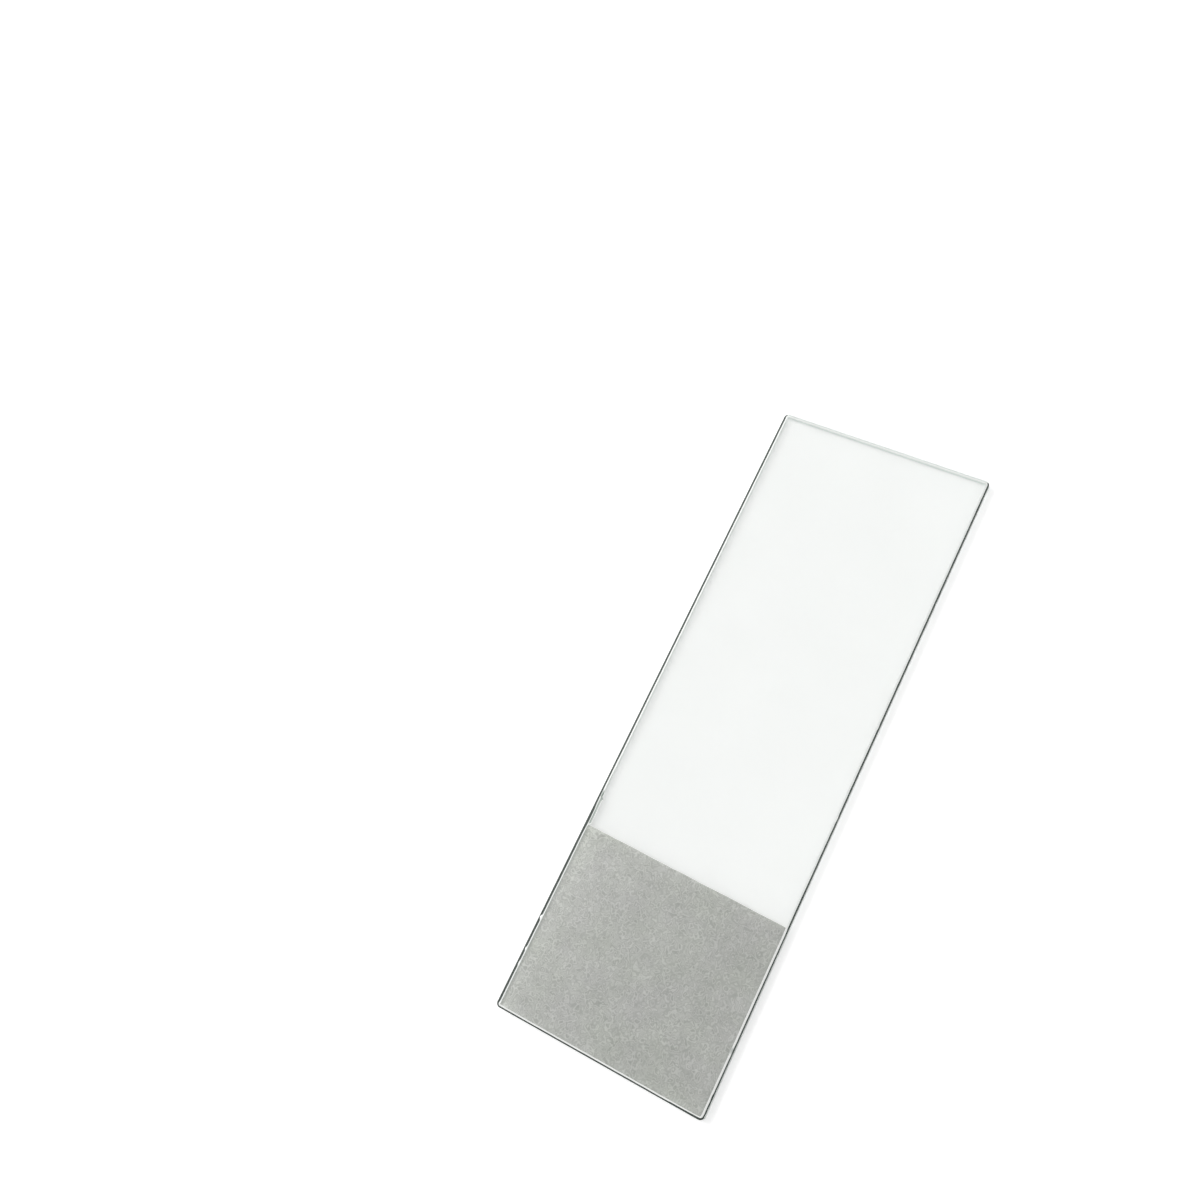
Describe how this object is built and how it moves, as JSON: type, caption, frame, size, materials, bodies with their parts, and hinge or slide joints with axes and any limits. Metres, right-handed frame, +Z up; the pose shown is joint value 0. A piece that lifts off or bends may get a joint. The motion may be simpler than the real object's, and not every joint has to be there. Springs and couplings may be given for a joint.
{
  "type": "microscope slide",
  "caption": "Flat rectangular pane of clear glass with ground, bevelled edges, rounded corners and a frosted writing panel at one end of its upper face.",
  "frame": {"origin": "middle of the underside, on the surface that the slide lies on", "axes": "+X along the slide's length, away from the frosted end; +Y across its width; +Z up, out of the face that carries the frosted panel"},
  "size_m": [0.0762, 0.0254, 0.0011],
  "materials": {
    "glass": "clear and polished, with fine matt frosting on the writing panel and a satin ground bevel"
  },
  "bodies": {
    "root": {"slide": "glass"}
  },
  "joints": []
}
